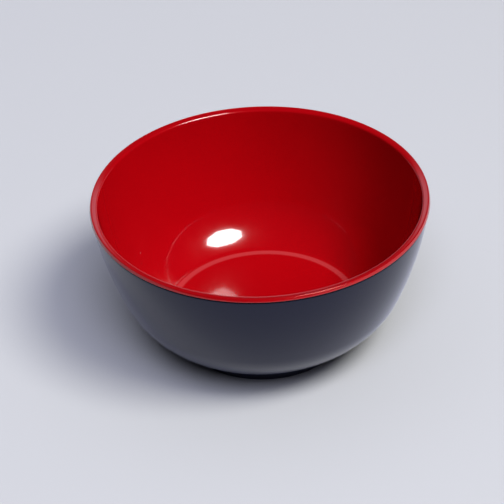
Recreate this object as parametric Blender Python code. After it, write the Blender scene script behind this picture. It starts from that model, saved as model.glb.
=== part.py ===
"""A two-tone moulded rice bowl: a black shell with its foot ring, and a red liner whose lip caps the shell.

Both pieces are turned about the Z axis, with the table at z = 0. All lengths are in metres. The wall is made of
two tangent arcs, and every layer of it lies on arcs about the same two centres, so each keeps its thickness.
A lean is the angle by which the wall tips inward from straight down.
"""

import math

import bmesh
import bpy
from mathutils import Vector

# The bowl as a whole
RIM_RADIUS = 0.0575
HEIGHT = 0.0555
FLOOR_HEIGHT = 0.0091

# The outside of the wall: nearly straight below the lip, then a tighter belly
WALL_LEAN = math.radians(8.55)
WALL_RADIUS = 0.129
BELLY_LEAN = math.radians(22.8)
BELLY_RADIUS = 0.031

# The two moulded layers and the bond line between them
SHELL_WALL = 0.0011
BOND_GAP = 0.0003
LINER_WALL = 0.00105
LINER_FLOOR = 0.0013
SHELL_FLOOR = 0.0017
FLOOR_FILLET = 0.0045

# The red lip, which stands proud of the shell
LIP_DEPTH = 0.00115
LIP_OVERHANG = 0.00037
LIP_INNER_ROUND = 0.0008
LIP_OUTER_ROUND = 0.0006
LIP_LOWER_ROUND = 0.0004
SEAM_ROUND = 0.00025

# The foot ring
FOOT_RADIUS = 0.0282
FOOT_HEIGHT = 0.006
FOOT_WIDTH = 0.0036
FOOT_ROUND = 0.0007
FOOT_FILLET = 0.0016
RECESS_DRAFT = 0.0009
RECESS_FILLET = 0.0018

# How finely the curves are divided
TURN_STEPS = 64
WALL_STEPS = 5
BELLY_STEPS = 7
ROUND_STEPS = 3

# Heights and centres that follow from the dimensions above
LIP_UNDERSIDE = HEIGHT - LIP_DEPTH
SHELL_TOP = LIP_UNDERSIDE - BOND_GAP
LINER_BASE = FLOOR_HEIGHT - LINER_FLOOR
SHELL_INSIDE = LINER_BASE - BOND_GAP
RECESS_TOP = SHELL_INSIDE - SHELL_FLOOR


def along_lean(centre, radius, lean):
    """The point of an arc at which the wall has this lean."""
    return centre + radius * Vector((math.cos(lean), -math.sin(lean)))


WALL_CENTRE = along_lean(Vector((RIM_RADIUS - LIP_OVERHANG, SHELL_TOP)), -WALL_RADIUS, WALL_LEAN)
BELLY_CENTRE = along_lean(WALL_CENTRE, WALL_RADIUS - BELLY_RADIUS, BELLY_LEAN)


def arc(centre, radius, start, end, steps):
    """Points down an arc of the wall, from one lean to another."""
    return [along_lean(centre, radius, start + (end - start) * step / steps) for step in range(steps + 1)]


def wall_curve(inset, top, bottom):
    """One surface of the wall, set in from the shell's outside, from a height near the lip down to the base."""
    wall_radius = WALL_RADIUS - inset
    belly_radius = BELLY_RADIUS - inset
    start = math.asin((WALL_CENTRE.y - top) / wall_radius)
    end = math.asin((BELLY_CENTRE.y - bottom) / belly_radius)
    wall = arc(WALL_CENTRE, wall_radius, start, BELLY_LEAN, WALL_STEPS)
    belly = arc(BELLY_CENTRE, belly_radius, BELLY_LEAN, end, BELLY_STEPS)
    return wall + belly[1:]


def rounded(before, corner, after, radius):
    """A corner of the outline, turned with an arc that touches both of its sides."""
    to_before = (before - corner).normalized()
    to_after = (after - corner).normalized()
    half = to_before.angle(to_after) / 2
    centre = corner + (to_before + to_after).normalized() * radius / math.sin(half)
    first = corner + to_before * radius / math.tan(half) - centre
    last = corner + to_after * radius / math.tan(half) - centre
    return [centre + radius * first.slerp(last, step / ROUND_STEPS) for step in range(ROUND_STEPS + 1)]


def outline_of(curves, rounds):
    """One outline through the curves, with the corners listed in rounds (place in the outline: radius) turned."""
    points = [point for curve in curves for point in curve]
    outline = []
    for place, point in enumerate(points):
        if place in rounds:
            outline += rounded(points[place - 1], point, points[place + 1], rounds[place])
        else:
            outline.append(point)
    return outline


def on_axis(height):
    """The end of an outline on the bowl's axis."""
    return [Vector((0, height))]


def shell_outline():
    """From the axis out over the shell's inside, up to the seam, down the outside and under the foot."""
    inside = wall_curve(SHELL_WALL, SHELL_TOP, SHELL_INSIDE)[::-1]
    outside = wall_curve(0, SHELL_TOP, FOOT_HEIGHT)
    foot_inside = FOOT_RADIUS - FOOT_WIDTH
    foot = [
        Vector((FOOT_RADIUS, 0)),
        Vector((foot_inside, 0)),
        Vector((foot_inside - RECESS_DRAFT, RECESS_TOP)),
    ]
    seam = len(inside)
    foot_start = seam + len(outside)
    rounds = {
        1: FLOOR_FILLET,
        seam: SEAM_ROUND,
        seam + 1: SEAM_ROUND,
        foot_start: FOOT_FILLET,
        foot_start + 1: FOOT_ROUND,
        foot_start + 2: FOOT_ROUND,
        foot_start + 3: RECESS_FILLET,
    }
    return outline_of([on_axis(SHELL_INSIDE), inside, outside, foot, on_axis(RECESS_TOP)], rounds)


def liner_outline():
    """From the axis out over the food side, over the lip and down the bonded side."""
    inside = wall_curve(SHELL_WALL + BOND_GAP + LINER_WALL, HEIGHT, FLOOR_HEIGHT)[::-1]
    bonded = wall_curve(SHELL_WALL + BOND_GAP, LIP_UNDERSIDE, LINER_BASE)
    lip = [
        Vector((RIM_RADIUS, HEIGHT)),
        Vector((RIM_RADIUS, LIP_UNDERSIDE)),
    ]
    lip_start = len(inside)
    rounds = {
        1: FLOOR_FILLET,
        lip_start: LIP_INNER_ROUND,
        lip_start + 1: LIP_OUTER_ROUND,
        lip_start + 2: LIP_LOWER_ROUND,
        lip_start + 3: SEAM_ROUND,
        lip_start + 2 + len(bonded): FLOOR_FILLET,
    }
    return outline_of([on_axis(FLOOR_HEIGHT), inside, lip, bonded, on_axis(LINER_BASE)], rounds)


def finish(name, colour, roughness):
    """A moulded plastic of one colour."""
    material = bpy.data.materials.new(name)
    material.use_nodes = True
    shader = material.node_tree.nodes["Principled BSDF"]
    shader.inputs["Base Color"].default_value = (*colour, 1)
    shader.inputs["Roughness"].default_value = roughness
    shader.inputs["Metallic"].default_value = 0
    return material


def turned(name, outline, material, parent):
    """A solid turned about the Z axis from an outline that starts and ends on it."""
    shape = bmesh.new()
    corners = [shape.verts.new((point.x, 0, point.y)) for point in outline]
    edges = [shape.edges.new(pair) for pair in zip(corners, corners[1:])]
    bmesh.ops.spin(
        shape,
        geom=corners + edges,
        cent=(0, 0, 0),
        axis=(0, 0, 1),
        angle=2 * math.pi,
        steps=TURN_STEPS,
        use_merge=True,
    )
    bmesh.ops.remove_doubles(shape, verts=shape.verts, dist=1e-6)
    bmesh.ops.recalc_face_normals(shape, faces=shape.faces)
    mesh = bpy.data.meshes.new(name)
    shape.to_mesh(mesh)
    shape.free()
    mesh.shade_smooth()
    mesh.set_sharp_from_angle(angle=math.radians(35))
    mesh.materials.append(material)
    piece = bpy.data.objects.new(name, mesh)
    piece.parent = parent
    bpy.context.collection.objects.link(piece)
    return piece


def main():
    for old in list(bpy.data.objects):
        bpy.data.objects.remove(old)
    bowl = bpy.data.objects.new("rice_bowl", None)
    bpy.context.collection.objects.link(bowl)
    black = finish("black_moulded_melamine", (0.012, 0.012, 0.015), 0.42)
    red = finish("red_moulded_melamine", (0.40, 0.004, 0.008), 0.12)
    turned("outer_shell", shell_outline(), black, bowl)
    turned("inner_liner", liner_outline(), red, bowl)


main()
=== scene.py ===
"""The looks of a two-tone moulded rice bowl, and the small studio that it is photographed in.

Both pieces are turned about the Z axis from an outline of radius and height, with the table at z = 0.
All lengths are in metres. The wall is made of two tangent arcs, and every layer of it lies on arcs about
the same two centres. A lean is the angle by which the wall tips inward from straight down.
"""

import math

import bmesh
import bpy
from bpy.props import FloatProperty, FloatVectorProperty, IntProperty, PointerProperty, StringProperty
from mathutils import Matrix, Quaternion, Vector


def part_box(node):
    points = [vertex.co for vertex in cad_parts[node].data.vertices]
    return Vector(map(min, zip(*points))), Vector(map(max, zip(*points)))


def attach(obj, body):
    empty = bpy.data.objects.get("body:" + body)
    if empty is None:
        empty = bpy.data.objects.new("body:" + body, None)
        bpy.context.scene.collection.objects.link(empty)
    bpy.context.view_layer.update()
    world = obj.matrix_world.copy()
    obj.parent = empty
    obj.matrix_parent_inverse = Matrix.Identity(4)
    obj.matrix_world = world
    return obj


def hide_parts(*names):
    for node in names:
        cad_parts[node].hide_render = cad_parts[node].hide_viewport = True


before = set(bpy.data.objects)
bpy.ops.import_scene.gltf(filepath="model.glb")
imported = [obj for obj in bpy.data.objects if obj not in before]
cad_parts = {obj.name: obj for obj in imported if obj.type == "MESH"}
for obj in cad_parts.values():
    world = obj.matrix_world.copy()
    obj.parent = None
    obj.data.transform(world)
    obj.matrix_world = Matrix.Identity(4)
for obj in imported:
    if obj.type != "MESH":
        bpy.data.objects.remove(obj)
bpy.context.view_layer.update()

bl_info = {
    "name": "Two-tone rice bowl",
    "version": (1, 0, 0),
    "blender": (4, 5, 0),
    "location": "View3D > Sidebar > Rice Bowl",
    "description": "Builds a black and red moulded rice bowl and a small studio around it",
    "category": "Add Mesh",
}

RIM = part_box("inner_liner")[1]

# How long faces are along an outline, as a multiple of those on the wall that shows
EDGE_FACES = 1 / 5
FLOOR_FILLET_FACES = 1 / 4
CURVE_FACES = 1 / 2
FLAT_FACES = 2
HIDDEN_FACES = 5
HIDDEN_FLAT_FACES = 20

# How an arc is divided, which points of an outline are one point, and which edges are shaded sharp
LARGEST_TURN = math.radians(9)
SAME_POINT = 2e-6
SHARP_ANGLE = math.radians(40)

# Sizes of the patterns in the red finish
PIGMENT_CLOUD = 0.018
PUNCH_SWELL = 0.006
WIPING_SMEAR = 0.009

# The pale ring painted on the floor as a painted reflection: how far off the axis each edge starts and ends,
# and how strong the ring is
RING_INSIDE = (0.0307, 0.0313)
RING_OUTSIDE = (0.0332, 0.0327)
RING_STRENGTH = 0.42

# Sizes of the patterns in the black finish
DRAWN_GRAIN = 0.00035
HANDLED_PATCH = 0.014
RUBBED_FOOT = 0.0006

# Most values of a noise texture lie in this range.
NOISE_RANGE = {"From Min": 0.3, "From Max": 0.7}

# Sockets of a colour Mix node by place, because those of its other modes have the same names
MIX_FACTOR = 0
MIX_FIRST = 6
MIX_SECOND = 7
MIX_RESULT = 2

# Sides of the two flat meshes of the studio
SOFTBOX_SIDES = 8
FLOOR_SIDES = 96

# Where the glow of the room ends: each pair gives where it is dark and where it is full. The first six are
# parts of a direction of length 1 along X, Y or Z, and the last is a count of bounces.
PANEL_INNER_EDGE = (0.05, 0.10)
PANEL_OUTER_EDGE = (0.48, 0.28)
PANEL_LOWER_EDGE = (0.42, 0.50)
PANEL_UPPER_EDGE = (0.64, 0.57)
HORIZON_EDGE = (0.27, 0.14)
BACK_EDGE = (0.3, 0.6)
BOUNCES = (2.8, 2.2)


class BowlSizes(bpy.types.PropertyGroup):
    """The sizes of the bowl's two moulded layers."""

    rim_radius: FloatProperty(
        name="Rim radius",
        description="From the axis to the outside of the lip",
        default=RIM.x,
        unit="LENGTH",
    )
    height: FloatProperty(
        name="Height",
        description="From the table to the top of the lip",
        default=RIM.z,
        unit="LENGTH",
    )
    floor_height: FloatProperty(
        name="Floor height",
        description="From the table to the flat floor that food lies on",
        default=0.0102,
        unit="LENGTH",
    )
    floor_fillet: FloatProperty(
        name="Floor fillet",
        description="Radius at which the flat floor turns up into the wall",
        default=0.0045,
        unit="LENGTH",
    )
    wall_lean: FloatProperty(
        name="Wall lean",
        description="Lean of the wall just below the lip",
        default=math.radians(8.55),
        subtype="ANGLE",
    )
    wall_radius: FloatProperty(
        name="Wall radius",
        description="Radius of the long upper arc of the wall, on its outside",
        default=0.129,
        unit="LENGTH",
    )
    belly_lean: FloatProperty(
        name="Belly lean",
        description="Lean of the wall where the upper arc passes into the belly",
        default=math.radians(22.8),
        subtype="ANGLE",
    )
    belly_radius: FloatProperty(
        name="Belly radius",
        description="Radius of the belly, on its outside",
        default=0.031,
        unit="LENGTH",
    )
    shell_wall: FloatProperty(
        name="Shell wall",
        description="Thickness of the black shell",
        default=0.0011,
        unit="LENGTH",
    )
    shell_floor: FloatProperty(
        name="Shell floor",
        description="Thickness of the black shell under the bowl's floor",
        default=0.0028,
        unit="LENGTH",
    )
    bond_gap: FloatProperty(
        name="Bond line",
        description="Width of the line between the two layers",
        default=0.0003,
        unit="LENGTH",
    )
    liner_wall: FloatProperty(
        name="Liner wall",
        description="Thickness of the red liner",
        default=0.00105,
        unit="LENGTH",
    )
    liner_floor: FloatProperty(
        name="Liner floor",
        description="Thickness of the red liner in the bowl's floor",
        default=0.0013,
        unit="LENGTH",
    )
    lip_depth: FloatProperty(
        name="Lip depth",
        description="Height of the red lip on the outside of the bowl",
        default=0.00115,
        unit="LENGTH",
    )
    lip_overhang: FloatProperty(
        name="Lip overhang",
        description="How far the lip stands proud of the shell",
        default=0.00037,
        unit="LENGTH",
    )
    crown_radius: FloatProperty(
        name="Crown radius",
        description="Radius of the broad arc on which the lip's top falls off towards the food side",
        default=0.013,
        unit="LENGTH",
    )
    crown_fall: FloatProperty(
        name="Crown fall",
        description="Angle at which the lip's top starts to fall off, at its outside",
        default=math.radians(4.5),
        subtype="ANGLE",
    )
    lip_inner_round: FloatProperty(
        name="Lip inner round",
        description="Radius of the lip's edge on the food side",
        default=0.0008,
        unit="LENGTH",
    )
    lip_draft: FloatProperty(
        name="Lip draft",
        description="How far the lip's outside slopes in on its way up",
        default=0.0004,
        unit="LENGTH",
    )
    lip_outer_round: FloatProperty(
        name="Lip outer round",
        description="Radius of the lip's top edge on the outside",
        default=0.00015,
        unit="LENGTH",
    )
    lip_lower_round: FloatProperty(
        name="Lip lower round",
        description="Radius of the lip's lower edge, over the seam",
        default=0.00015,
        unit="LENGTH",
    )
    seam_round: FloatProperty(
        name="Seam round",
        description="Radius of the shell's edges under the lip",
        default=0.0005,
        unit="LENGTH",
    )
    foot_radius: FloatProperty(
        name="Foot radius",
        description="From the axis to the outside of the foot ring, at the table",
        default=0.0282,
        unit="LENGTH",
    )
    foot_height: FloatProperty(
        name="Foot height",
        description="From the table to where the foot ring meets the belly",
        default=0.006,
        unit="LENGTH",
    )
    foot_width: FloatProperty(
        name="Foot width",
        description="Width of the foot ring at the table",
        default=0.0036,
        unit="LENGTH",
    )
    foot_round: FloatProperty(
        name="Foot round",
        description="Radius of the foot ring's lower edges",
        default=0.0007,
        unit="LENGTH",
    )
    foot_fillet: FloatProperty(
        name="Foot fillet",
        description="Radius at which the belly turns into the foot ring",
        default=0.0016,
        unit="LENGTH",
    )
    recess_draft: FloatProperty(
        name="Recess draft",
        description="How far the inside of the foot ring slopes in on its way up",
        default=0.0009,
        unit="LENGTH",
    )
    recess_fillet: FloatProperty(
        name="Recess fillet",
        description="Radius at which the foot ring turns into the recessed base",
        default=0.0018,
        unit="LENGTH",
    )
    turn_steps: IntProperty(
        name="Steps around",
        description="How many faces go once around the axis",
        default=192,
        min=24,
    )
    spacing: FloatProperty(
        name="Face length",
        description="Length of the faces along the outline, where they show",
        default=0.0005,
        unit="LENGTH",
    )


class BowlColours(bpy.types.PropertyGroup):
    """The colours of the two mouldings, as sRGB hex values."""

    black: StringProperty(
        name="Shell black",
        description="Pigment of the black shell",
        default="#0B0B19",
    )
    black_worn: StringProperty(
        name="Worn black",
        description="The black where the foot ring has rubbed on tables",
        default="#2A2A30",
    )
    black_gloss: StringProperty(
        name="Shell gloss",
        description="Tint of the shell's reflections, where they are seen straight on",
        default="#C0C8F6",
    )
    black_sheen: StringProperty(
        name="Shell sheen",
        description="Tint of the soft sheen along the shell's grain",
        default="#B4C0FF",
    )
    red: StringProperty(
        name="Liner red",
        description="Pigment of the red liner",
        default="#B0020C",
    )
    red_deep: StringProperty(
        name="Deep red",
        description="The red where the pigment lies a little denser",
        default="#A8020C",
    )
    # This pale red is a painted reflection, laid in a ring where the floor turns up.
    red_ring_reflection: StringProperty(
        name="Ring reflection red",
        description="The red where spoons have rubbed it dull, at the floor's turn",
        default="#D25459",
    )


class StudioSettings(bpy.types.PropertyGroup):
    """The table, the light and the camera."""

    floor_colour: StringProperty(
        name="Table colour",
        description="Colour of the pale paper that the bowl stands on",
        default="#A3A3A0",
    )
    floor_radius: FloatProperty(
        name="Table radius",
        description="How far the paper reaches from the bowl",
        default=4.0,
        unit="LENGTH",
    )
    key_azimuth: FloatProperty(
        name="Key direction",
        description="Direction of the softbox, turned from the back towards the right",
        default=math.radians(131),
        subtype="ANGLE",
    )
    key_elevation: FloatProperty(
        name="Key elevation",
        description="Height of the softbox over the table, as an angle at the bowl",
        default=math.radians(57.3),
        subtype="ANGLE",
    )
    key_turn: FloatProperty(
        name="Key turn",
        description="How far the softbox is turned about the line to the bowl",
        default=math.radians(-5),
        subtype="ANGLE",
    )
    key_distance: FloatProperty(
        name="Key distance",
        description="From the bowl to the softbox",
        default=2.4,
        unit="LENGTH",
    )
    key_width: FloatProperty(
        name="Key width",
        description="Width of the softbox, which has eight sides",
        default=1.06,
        unit="LENGTH",
    )
    key_height: FloatProperty(
        name="Key height",
        description="Height of the softbox",
        default=0.86,
        unit="LENGTH",
    )
    key_strength: FloatProperty(
        name="Key strength",
        description="Radiance of the softbox",
        default=30.0,
    )
    fill_azimuth: FloatProperty(
        name="Fill direction",
        description="Direction of the soft light from the front, turned from the back towards the right",
        default=math.radians(174),
        subtype="ANGLE",
    )
    fill_elevation: FloatProperty(
        name="Fill elevation",
        description="Height of the front light over the table, as an angle at the bowl",
        default=math.radians(54),
        subtype="ANGLE",
    )
    fill_spread: FloatProperty(
        name="Fill spread",
        description="How wide the front light looks from the table",
        default=math.radians(30),
        subtype="ANGLE",
    )
    fill_colour: StringProperty(
        name="Fill colour",
        description="Colour of the front light, and of the light from the ceiling",
        default="#DCDFFC",
    )
    fill_strength: FloatProperty(
        name="Fill strength",
        description="Strength of the front light, which falls on the paper only",
        default=2.8,
    )
    ceiling_spread: FloatProperty(
        name="Ceiling spread",
        description="How wide the light from the ceiling looks from the table",
        default=math.radians(88),
        subtype="ANGLE",
    )
    ceiling_strength: FloatProperty(
        name="Ceiling strength",
        description="Strength of the light that comes back from the ceiling onto the paper only",
        default=1.4,
    )
    panel_strength: FloatProperty(
        name="Panel strength",
        description="Radiance of the two pale panels behind the table",
        default=0.9,
    )
    horizon_strength: FloatProperty(
        name="Horizon strength",
        description="Radiance of the low wall behind the table's far end",
        default=0.75,
    )
    room_strength: FloatProperty(
        name="Room strength",
        description="Radiance of the dark room",
        default=0.015,
    )
    room_colour: StringProperty(
        name="Room colour",
        description="Colour of the light from the panels, the low wall and the room",
        default="#E8EEFF",
    )
    camera_aim: FloatVectorProperty(
        name="Camera aim",
        description="The point in the middle of the picture",
        default=(-0.003295, 0, 0.0335),
        subtype="XYZ",
        unit="LENGTH",
    )
    camera_distance: FloatProperty(
        name="Camera distance",
        description="From the middle of the rim to the camera",
        default=1.035,
        unit="LENGTH",
    )
    camera_elevation: FloatProperty(
        name="Camera elevation",
        description="Height of the camera over the rim, as an angle at the rim's middle",
        default=math.radians(34.63),
        subtype="ANGLE",
    )
    camera_roll: FloatProperty(
        name="Camera roll",
        description="How far the camera is tipped to its side",
        default=math.radians(-2.38),
        subtype="ANGLE",
    )
    camera_lens: FloatProperty(
        name="Lens",
        description="Focal length on a 36 mm sensor, in millimetres",
        default=219.46,
        unit="CAMERA",
    )


def linear(code):
    """An sRGB hex colour as linear red, green, blue and alpha."""
    parts = [int(code[place:place + 2], 16) / 255 for place in (1, 3, 5)]
    return (*[part / 12.92 if part <= 0.04045 else ((part + 0.055) / 1.055) ** 2.4 for part in parts], 1)


def add(tree, kind, settings, inputs):
    """Adds a node, sets its properties, and gives each input named here a value or a link from an output."""
    made = tree.nodes.new(kind)
    for name, value in settings.items():
        setattr(made, name, value)
    for name, value in inputs.items():
        if isinstance(value, bpy.types.NodeSocket):
            tree.links.new(value, made.inputs[name])
        else:
            made.inputs[name].default_value = value
    return made


def new_material(name):
    """An empty material and its node tree."""
    material = bpy.data.materials.new(name)
    material.use_nodes = True
    material.node_tree.nodes.clear()
    return material, material.node_tree


def polished_melamine(colours):
    """Red melamine pressed against a polished steel punch.

    The resin cures hard and clear around its pigment, so the eye gets a deep, even red under a glass-like
    gloss, with a little haze around bright reflections from fine use marks.
    """
    material, tree = new_material("polished_moulded_melamine_red")
    place = add(tree, "ShaderNodeTexCoord", {}, {}).outputs["Object"]
    # The pigment clouds where the powder flowed, in patches of about 18 mm.
    cloud = add(
        tree,
        "ShaderNodeTexNoise",
        {},
        {"Vector": place, "Scale": 1 / PIGMENT_CLOUD, "Detail": 3, "Roughness": 0.5},
    )
    pigment = add(
        tree,
        "ShaderNodeMix",
        {"data_type": "RGBA"},
        {
            MIX_FACTOR: cloud.outputs["Fac"],
            MIX_FIRST: linear(colours.red_deep),
            MIX_SECOND: linear(colours.red),
        },
    )
    # A faint pale ring where the floor turns up, from about 31 mm to 33 mm off the axis, is a painted
    # reflection.
    parts = add(tree, "ShaderNodeSeparateXYZ", {}, {"Vector": place})
    level = add(tree, "ShaderNodeCombineXYZ", {}, {"X": parts.outputs["X"], "Y": parts.outputs["Y"]})
    off_axis = add(tree, "ShaderNodeVectorMath", {"operation": "LENGTH"}, {0: level.outputs["Vector"]})
    ring = RING_STRENGTH
    # bare and rubbed are the radii where each edge of the painted reflection ring starts and where it is
    # full.
    for bare, rubbed in (RING_INSIDE, RING_OUTSIDE):
        edge = add(
            tree,
            "ShaderNodeMapRange",
            {},
            {
                "Value": off_axis.outputs["Value"],
                "From Min": bare,
                "From Max": rubbed,
                "To Min": 0.0,
                "To Max": ring,
            },
        )
        ring = edge.outputs["Result"]
    with_painted_ring = add(
        tree,
        "ShaderNodeMix",
        {"data_type": "RGBA"},
        {
            MIX_FACTOR: ring,
            MIX_FIRST: pigment.outputs[MIX_RESULT],
            MIX_SECOND: linear(colours.red_ring_reflection),
        },
    )
    # The punch leaves a very slight unevenness, with swells about 6 mm apart.
    swell = add(
        tree,
        "ShaderNodeTexNoise",
        {},
        {"Vector": place, "Scale": 1 / PUNCH_SWELL, "Detail": 1, "Roughness": 0.4},
    )
    uneven = add(
        tree,
        "ShaderNodeBump",
        {},
        {"Strength": 0.1, "Distance": 0.00001, "Height": swell.outputs["Fac"]},
    )
    # Wiping leaves the gloss a little patchy, in smears of about 9 mm.
    smear = add(
        tree,
        "ShaderNodeTexNoise",
        {},
        {"Vector": place, "Scale": 1 / WIPING_SMEAR, "Detail": 4, "Roughness": 0.6},
    )
    haze = add(
        tree,
        "ShaderNodeMapRange",
        {},
        {"Value": smear.outputs["Fac"], **NOISE_RANGE, "To Min": 0.12, "To Max": 0.17},
    )
    surface = add(
        tree,
        "ShaderNodeBsdfPrincipled",
        {},
        {
            "Base Color": with_painted_ring.outputs[MIX_RESULT],
            "Roughness": haze.outputs["Result"],
            "IOR": 1.6,
            "Specular IOR Level": 0.22,
            "Coat Weight": 1.0,
            "Coat Roughness": 0.0,
            "Coat IOR": 1.4,
            "Normal": uneven.outputs["Normal"],
            "Coat Normal": uneven.outputs["Normal"],
        },
    )
    add(tree, "ShaderNodeOutputMaterial", {}, {"Surface": surface.outputs["BSDF"]})
    return material


def satin_melamine(colours):
    """Black melamine pressed against a mould with a fine blasted texture.

    The grain breaks up the gloss, so the black shows soft reflections of what is around it and a faint bluish
    sheen, strongest where it is seen along the surface. The foot ring has rubbed on tables.
    """
    material, tree = new_material("satin_moulded_melamine_black")
    place = add(tree, "ShaderNodeTexCoord", {}, {}).outputs["Object"]
    height = add(tree, "ShaderNodeSeparateXYZ", {}, {"Vector": place}).outputs["Z"]
    # The blasted grain is about 0.1 mm. It is drawn at 0.35 mm, because finer grain would not show.
    grain = add(
        tree,
        "ShaderNodeTexNoise",
        {},
        {"Vector": place, "Scale": 1 / DRAWN_GRAIN, "Detail": 2, "Roughness": 0.6},
    )
    texture = add(
        tree,
        "ShaderNodeBump",
        {},
        {"Strength": 0.06, "Distance": 0.00003, "Height": grain.outputs["Fac"]},
    )
    # Handling leaves the gloss uneven, in patches of about 14 mm.
    patch = add(
        tree,
        "ShaderNodeTexNoise",
        {},
        {"Vector": place, "Scale": 1 / HANDLED_PATCH, "Detail": 3, "Roughness": 0.55},
    )
    handled = add(
        tree,
        "ShaderNodeMapRange",
        {},
        {"Value": patch.outputs["Fac"], **NOISE_RANGE, "To Min": 0.05, "To Max": 0.08},
    )
    # Rubbing reaches about 0.6 mm up the foot ring.
    rubbed = add(
        tree,
        "ShaderNodeMapRange",
        {},
        {"Value": height, "From Min": 0.0, "From Max": RUBBED_FOOT, "To Min": 0.6, "To Max": 0.0},
    )
    pigment = add(
        tree,
        "ShaderNodeMix",
        {"data_type": "RGBA"},
        {
            MIX_FACTOR: rubbed.outputs["Result"],
            MIX_FIRST: linear(colours.black),
            MIX_SECOND: linear(colours.black_worn),
        },
    )
    surface = add(
        tree,
        "ShaderNodeBsdfPrincipled",
        {},
        {
            "Base Color": pigment.outputs[MIX_RESULT],
            "Roughness": handled.outputs["Result"],
            "IOR": 1.5,
            "Specular Tint": linear(colours.black_gloss),
            "Sheen Weight": 0.14,
            "Sheen Roughness": 0.3,
            "Sheen Tint": linear(colours.black_sheen),
            "Normal": texture.outputs["Normal"],
        },
    )
    add(tree, "ShaderNodeOutputMaterial", {}, {"Surface": surface.outputs["BSDF"]})
    return material


def line(start, end, spacing):
    """Points along a straight stretch of an outline."""
    steps = max(1, math.ceil((end - start).length / spacing))
    return [start.lerp(end, step / steps) for step in range(steps + 1)]


def at_angle(centre, radius, angle):
    """The point of a circle at an angle from straight out, turning upward."""
    return centre + radius * Vector((math.cos(angle), math.sin(angle)))


def arc(centre, radius, start, end, spacing):
    """Points along an arc of an outline, from one angle to another."""
    turn = end - start
    steps = max(2, math.ceil(radius * abs(turn) / spacing), math.ceil(abs(turn) / LARGEST_TURN))
    return [at_angle(centre, radius, start + turn * step / steps) for step in range(steps + 1)]


def angle_of(centre, point):
    """The angle of a point about a centre, between -pi and pi."""
    offset = point - centre
    return math.atan2(offset.y, offset.x)


def reach(centre, distance, start, direction):
    """Of the two points of a line that lie at a distance from a centre, the one nearer the line's start."""
    along = (centre - start).dot(direction)
    foot = start + direction * along
    rest = distance ** 2 - (foot - centre).length_squared
    if rest < 0:
        raise ValueError("These sizes leave no room for a fillet")
    ends = [foot + direction * math.sqrt(rest), foot - direction * math.sqrt(rest)]
    return min(ends, key=lambda end: (end - start).length)


def rounded(before, corner, after, radius, spacing):
    """A corner between two straight stretches, turned with an arc that touches both."""
    to_before = (before - corner).normalized()
    to_after = (after - corner).normalized()
    half = to_before.angle(to_after) / 2
    centre = corner + (to_before + to_after).normalized() * radius / math.sin(half)
    start = angle_of(centre, corner + to_before * radius / math.tan(half))
    end = angle_of(centre, corner + to_after * radius / math.tan(half))
    turn = (end - start + math.pi) % (2 * math.pi) - math.pi
    return arc(centre, radius, start, start + turn, spacing)


def lip_underside(sizes):
    """Height of the lip's lower edge."""
    return sizes.height - sizes.lip_depth


def shell_top(sizes):
    """Height of the shell's edge, under the lip."""
    return lip_underside(sizes) - sizes.bond_gap


def wall_centres(sizes):
    """The centres of the wall's two arcs."""
    edge = Vector((sizes.rim_radius - sizes.lip_overhang, shell_top(sizes)))
    wall = at_angle(edge, -sizes.wall_radius, -sizes.wall_lean)
    belly = at_angle(wall, sizes.wall_radius - sizes.belly_radius, -sizes.belly_lean)
    return wall, belly


def wall_curve(sizes, inset, top, bottom_angle, spacing):
    """One surface of the wall, from a height near the lip to an angle on the belly.

    Its inset is how far it lies in from the shell's outside.
    """
    wall, belly = wall_centres(sizes)
    radius = sizes.wall_radius - inset
    start = math.asin((top - wall.y) / radius)
    upper = arc(wall, radius, start, -sizes.belly_lean, spacing)
    lower = arc(belly, sizes.belly_radius - inset, -sizes.belly_lean, bottom_angle, spacing)
    return upper + lower


def wall_reach(sizes, inset, height):
    """How far off the axis one surface of the upper wall is at a height."""
    wall = wall_centres(sizes)[0]
    return wall.x + math.sqrt((sizes.wall_radius - inset) ** 2 - (height - wall.y) ** 2)


def belly_angle(sizes, inset, height):
    """The angle on the belly at which one surface of it has a height."""
    belly = wall_centres(sizes)[1]
    return math.asin((height - belly.y) / (sizes.belly_radius - inset))


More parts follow.
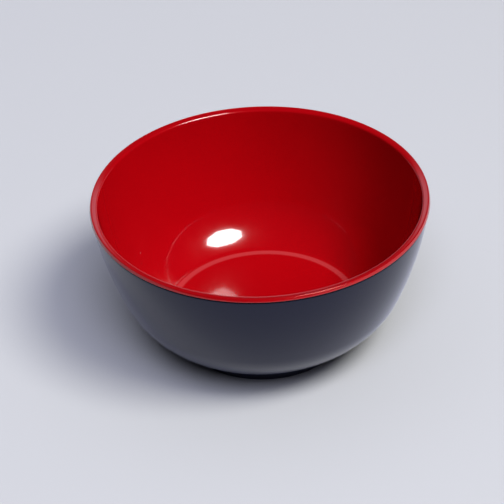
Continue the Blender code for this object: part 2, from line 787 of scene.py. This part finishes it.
def liner_outline(sizes):
    """From the axis out over the food side, over the lip and back down the bonded side."""
    belly = wall_centres(sizes)[1]
    fine = sizes.spacing
    bonded = sizes.shell_wall + sizes.bond_gap
    food = bonded + sizes.liner_wall
    # The floor turns up into the belly.
    turn = sizes.floor_fillet
    fillet_line = Vector((sizes.rim_radius, sizes.floor_height + turn))
    fillet = reach(belly, sizes.belly_radius - food - turn, fillet_line, Vector((1, 0)))
    fillet_end = angle_of(belly, fillet)
    # The lip's top falls off in a broad arc, which meets the food side's wall in a small round.
    inner = sizes.lip_inner_round
    outer = sizes.lip_outer_round
    broad = sizes.crown_radius
    top_corner = Vector((sizes.rim_radius - sizes.lip_draft, sizes.height))
    crown_end = math.pi / 2 + sizes.crown_fall
    crown_middle = at_angle(top_corner, -broad, crown_end)
    meeting = math.acos((wall_reach(sizes, food, sizes.height) - crown_middle.x) / broad)
    inner_corner = at_angle(crown_middle, broad, meeting)
    inside = wall_curve(sizes, food, inner_corner.y - inner, fillet_end, fine)[::-1]
    crown = arc(crown_middle, broad, meeting - inner / broad, crown_end + outer / broad, fine * CURVE_FACES)
    # The lip's outside slopes down to its lower edge, and the bonded side runs on from there.
    lower_corner = Vector((sizes.rim_radius, lip_underside(sizes)))
    base = sizes.floor_height - sizes.liner_floor
    under_end = belly_angle(sizes, bonded, base)
    under = wall_curve(sizes, bonded, lip_underside(sizes), under_end, fine * HIDDEN_FACES)
    inner_edge = rounded(inside[-1], inner_corner, crown[0], inner, fine * EDGE_FACES)
    top_edge = rounded(crown[-1], top_corner, lower_corner, outer, fine * EDGE_FACES)
    lower_edge = rounded(top_corner, lower_corner, under[0], sizes.lip_lower_round, fine * EDGE_FACES)
    middle = Vector((0, sizes.floor_height))
    return [
        line(middle, Vector((fillet.x, sizes.floor_height)), fine * FLAT_FACES),
        arc(fillet, turn, -math.pi / 2, fillet_end, fine * FLOOR_FILLET_FACES),
        inside,
        inner_edge,
        crown,
        top_edge,
        line(top_edge[-1], lower_edge[0], fine),
        lower_edge,
        under,
        line(under[-1], Vector((0, base)), fine * HIDDEN_FLAT_FACES),
    ]


def shell_outline(sizes):
    """From the axis out over the bonded side, up to the seam, down the outside and under the foot."""
    belly = wall_centres(sizes)[1]
    fine = sizes.spacing
    seam = sizes.seam_round
    top = shell_top(sizes)
    inside_floor = sizes.floor_height - sizes.liner_floor - sizes.bond_gap
    recess_top = inside_floor - sizes.shell_floor
    inside_end = belly_angle(sizes, sizes.shell_wall, inside_floor)
    inside = wall_curve(sizes, sizes.shell_wall, top - seam, inside_end, fine * HIDDEN_FACES)[::-1]
    # The belly turns into the drafted side of the foot ring.
    turn = sizes.foot_fillet
    foot_top = at_angle(belly, sizes.belly_radius, belly_angle(sizes, 0, sizes.foot_height))
    foot_outer = Vector((sizes.foot_radius, 0))
    down = (foot_outer - foot_top).normalized()
    clear = Vector((-down.y, down.x)) * turn
    fillet = reach(belly, sizes.belly_radius + turn, foot_outer + clear, down)
    fillet_start = angle_of(belly, fillet)
    fillet_end = fillet - clear
    outside = wall_curve(sizes, 0, top - seam, fillet_start, fine)
    seam_inner = Vector((inside[-1].x, top))
    seam_outer = Vector((outside[0].x, top))
    # Under the foot ring, the recess slopes up to the flat base.
    foot_inner = Vector((sizes.foot_radius - sizes.foot_width, 0))
    recess = Vector((foot_inner.x - sizes.recess_draft, recess_top))
    middle = Vector((0, recess_top))
    outer_edge = rounded(foot_top, foot_outer, foot_inner, sizes.foot_round, fine * CURVE_FACES)
    inner_edge = rounded(foot_outer, foot_inner, recess, sizes.foot_round, fine * CURVE_FACES)
    recess_turn = rounded(foot_inner, recess, middle, sizes.recess_fillet, fine * CURVE_FACES)
    return [
        line(Vector((0, inside_floor)), inside[0], fine * HIDDEN_FLAT_FACES),
        inside,
        rounded(inside[-1], seam_inner, seam_outer, seam, fine),
        rounded(seam_inner, seam_outer, outside[0], seam, fine),
        outside,
        arc(fillet, turn, math.pi + fillet_start, angle_of(fillet, fillet_end), fine * CURVE_FACES),
        line(fillet_end, outer_edge[0], fine),
        outer_edge,
        line(outer_edge[-1], inner_edge[0], fine),
        inner_edge,
        line(inner_edge[-1], recess_turn[0], fine),
        recess_turn,
        line(recess_turn[-1], middle, fine * FLAT_FACES),
    ]


def set_down(name, shape, material):
    """An object in the scene with the mesh of a finished bmesh, which is freed."""
    mesh = bpy.data.meshes.new(name)
    shape.to_mesh(mesh)
    shape.free()
    mesh.materials.append(material)
    made = bpy.data.objects.new(name, mesh)
    bpy.context.collection.objects.link(made)
    return made


def turned(name, curves, steps, material):
    """A solid turned about the Z axis from the curves of an outline that starts and ends on it."""
    shape = bmesh.new()
    corners = []
    for point in [point for curve in curves for point in curve]:
        if not corners or (corners[-1].co.xz - point).length > SAME_POINT:
            corners.append(shape.verts.new((point.x, 0, point.y)))
    edges = [shape.edges.new(pair) for pair in zip(corners, corners[1:])]
    bmesh.ops.spin(
        shape,
        geom=corners + edges,
        cent=(0, 0, 0),
        axis=(0, 0, 1),
        angle=2 * math.pi,
        steps=steps,
        use_merge=True,
    )
    bmesh.ops.remove_doubles(shape, verts=shape.verts, dist=SAME_POINT)
    bmesh.ops.recalc_face_normals(shape, faces=shape.faces)
    piece = set_down(name, shape, material)
    piece.data.shade_smooth()
    piece.data.set_sharp_from_angle(angle=SHARP_ANGLE)
    return piece


class RICEBOWL_OT_outer_shell(bpy.types.Operator):
    """Builds the black shell with its foot ring"""

    bl_idname = "ricebowl.outer_shell"
    bl_label = "Outer shell"

    def execute(self, context):
        sizes = context.scene.bowl_sizes
        finish = satin_melamine(context.scene.bowl_colours)
        piece = turned("black_shell", shell_outline(sizes), sizes.turn_steps, finish)
        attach(piece, "root")
        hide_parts("outer_shell")
        return {"FINISHED"}


class RICEBOWL_OT_inner_liner(bpy.types.Operator):
    """Builds the red liner with the lip that caps the shell"""

    bl_idname = "ricebowl.inner_liner"
    bl_label = "Inner liner"

    def execute(self, context):
        sizes = context.scene.bowl_sizes
        finish = polished_melamine(context.scene.bowl_colours)
        piece = turned("red_liner", liner_outline(sizes), sizes.turn_steps, finish)
        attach(piece, "root")
        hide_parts("inner_liner")
        return {"FINISHED"}


def paper_floor(studio):
    """A round sheet of pale matt backdrop paper under the bowl, which shows no gloss."""
    material, tree = new_material("matt_backdrop_paper")
    surface = add(
        tree,
        "ShaderNodeBsdfPrincipled",
        {},
        {"Base Color": linear(studio.floor_colour), "Roughness": 0.8, "Specular IOR Level": 0.2},
    )
    add(tree, "ShaderNodeOutputMaterial", {}, {"Surface": surface.outputs["BSDF"]})
    shape = bmesh.new()
    bmesh.ops.create_circle(shape, cap_ends=True, segments=FLOOR_SIDES, radius=studio.floor_radius)
    floor = set_down("paper_floor", shape, material)
    return floor


def heading(azimuth, elevation):
    """The direction at an angle turned from the back towards the right, and at a height over the table."""
    level = math.cos(elevation)
    return Vector((level * math.sin(azimuth), level * math.cos(azimuth), math.sin(elevation)))


def softbox(studio):
    """An eight-sided softbox as the key light, glowing evenly and not seen itself."""
    material, tree = new_material("softbox_diffuser")
    glow = add(tree, "ShaderNodeEmission", {}, {"Strength": studio.key_strength})
    add(tree, "ShaderNodeOutputMaterial", {}, {"Surface": glow.outputs["Emission"]})
    shape = bmesh.new()
    corner = studio.key_width / 2 / math.cos(math.pi / SOFTBOX_SIDES)
    bmesh.ops.create_circle(shape, cap_ends=True, segments=SOFTBOX_SIDES, radius=corner)
    bmesh.ops.scale(shape, vec=(1, studio.key_height / studio.key_width, 1), verts=shape.verts)
    lamp = set_down("softbox", shape, material)
    towards = heading(studio.key_azimuth, studio.key_elevation)
    facing = towards.to_track_quat("Z", "Y")
    lamp.location = towards * studio.key_distance
    lamp.rotation_euler = (facing @ Quaternion((0, 0, 1), studio.key_turn)).to_euler()
    lamp.visible_camera = False


def paper_light(name, towards, spread, strength, colour, paper):
    """A broad soft light that fills the shadow on the paper and leaves the bowl alone."""
    data = bpy.data.lights.new(name, "SUN")
    data.energy = strength
    data.angle = spread
    data.color = linear(colour)[:3]
    lamp = bpy.data.objects.new(name, data)
    bpy.context.collection.objects.link(lamp)
    lamp.rotation_euler = towards.to_track_quat("Z", "Y").to_euler()
    lamp.light_linking.receiver_collection = paper


def fills(studio, floor):
    """The light that comes back onto the paper from the camera's side and from the ceiling."""
    paper = bpy.data.collections.new("paper")
    paper.objects.link(floor)
    colour = studio.fill_colour
    front = heading(studio.fill_azimuth, studio.fill_elevation)
    paper_light("front_fill", front, studio.fill_spread, studio.fill_strength, colour, paper)
    over = Vector((0, 0, 1))
    paper_light("ceiling", over, studio.ceiling_spread, studio.ceiling_strength, colour, paper)


def room(studio):
    """A dark room with two pale panels and a low wall behind the table, as a world."""
    world = bpy.data.worlds.new("dark_room")
    world.use_nodes = True
    tree = world.node_tree
    tree.nodes.clear()
    way = add(tree, "ShaderNodeTexCoord", {}, {}).outputs["Generated"]
    parts = add(tree, "ShaderNodeSeparateXYZ", {}, {"Vector": way})
    up = parts.outputs["Z"]
    # The panels stand to the left and right of the middle, about 25 to 40 degrees over the table.
    aside = add(tree, "ShaderNodeMath", {"operation": "ABSOLUTE"}, {0: parts.outputs["X"]}).outputs["Value"]
    panels = [
        (aside, PANEL_INNER_EDGE),
        (aside, PANEL_OUTER_EDGE),
        (up, PANEL_LOWER_EDGE),
        (up, PANEL_UPPER_EDGE),
    ]
    # The low wall glows a little behind the far end of the table, up to about 15 degrees.
    horizon = [(up, HORIZON_EDGE)]
    # Both show in the bowl's first reflection, which counts as bounce 2 here, and not again in its inside.
    bounce = add(tree, "ShaderNodeLightPath", {}, {}).outputs["Ray Depth"]
    both = [(parts.outputs["Y"], BACK_EDGE), (bounce, BOUNCES)]
    glow = studio.room_strength
    for strength, edges in ((studio.panel_strength, panels), (studio.horizon_strength, horizon)):
        pale = strength
        for along, (dark, full) in edges + both:
            edge = add(
                tree,
                "ShaderNodeMapRange",
                {"interpolation_type": "SMOOTHSTEP"},
                {"Value": along, "From Min": dark, "From Max": full, "To Min": 0.0, "To Max": pale},
            )
            pale = edge.outputs["Result"]
        glow = add(tree, "ShaderNodeMath", {"operation": "ADD"}, {0: glow, 1: pale}).outputs["Value"]
    background = add(
        tree,
        "ShaderNodeBackground",
        {},
        {"Color": linear(studio.room_colour), "Strength": glow},
    )
    add(tree, "ShaderNodeOutputWorld", {}, {"Surface": background.outputs["Background"]})
    bpy.context.scene.world = world


def camera(studio, sizes):
    """A long lens, looking down into the bowl from the front."""
    data = bpy.data.cameras.new("camera")
    data.lens = studio.camera_lens
    eye = bpy.data.objects.new("camera", data)
    bpy.context.collection.objects.link(eye)
    back = heading(math.pi, studio.camera_elevation)
    eye.location = Vector((0, 0, sizes.height)) + back * studio.camera_distance
    facing = (Vector(studio.camera_aim) - eye.location).to_track_quat("-Z", "Y")
    eye.rotation_euler = (facing @ Quaternion((0, 0, 1), studio.camera_roll)).to_euler()
    bpy.context.scene.camera = eye


class RICEBOWL_OT_studio(bpy.types.Operator):
    """Sets up the table, the light and the camera"""

    bl_idname = "ricebowl.studio"
    bl_label = "Studio"

    def execute(self, context):
        studio = context.scene.bowl_studio
        softbox(studio)
        fills(studio, paper_floor(studio))
        room(studio)
        camera(studio, context.scene.bowl_sizes)
        context.scene.view_settings.view_transform = "Standard"
        return {"FINISHED"}


class RICEBOWL_PT_panel(bpy.types.Panel):
    """Lists the bowl's sizes and colours, and the steps that build it"""

    bl_idname = "RICEBOWL_PT_panel"
    bl_label = "Rice Bowl"
    bl_space_type = "VIEW_3D"
    bl_region_type = "UI"
    bl_category = "Rice Bowl"

    def draw(self, context):
        column = self.layout.column()
        for group in (context.scene.bowl_sizes, context.scene.bowl_colours, context.scene.bowl_studio):
            for name in group.__annotations__:
                column.prop(group, name)
            column.separator()
        for step in (RICEBOWL_OT_outer_shell, RICEBOWL_OT_inner_liner, RICEBOWL_OT_studio):
            column.operator(step.bl_idname)


CLASSES = (
    BowlSizes,
    BowlColours,
    StudioSettings,
    RICEBOWL_OT_outer_shell,
    RICEBOWL_OT_inner_liner,
    RICEBOWL_OT_studio,
    RICEBOWL_PT_panel,
)


def register():
    for item in CLASSES:
        bpy.utils.register_class(item)
    bpy.types.Scene.bowl_sizes = PointerProperty(type=BowlSizes)
    bpy.types.Scene.bowl_colours = PointerProperty(type=BowlColours)
    bpy.types.Scene.bowl_studio = PointerProperty(type=StudioSettings)


def unregister():
    del bpy.types.Scene.bowl_studio
    del bpy.types.Scene.bowl_colours
    del bpy.types.Scene.bowl_sizes
    for item in reversed(CLASSES):
        bpy.utils.unregister_class(item)


def main():
    register()
    bpy.ops.ricebowl.outer_shell()
    bpy.ops.ricebowl.inner_liner()
    bpy.ops.ricebowl.studio()


if __name__ == "__main__":
    main()
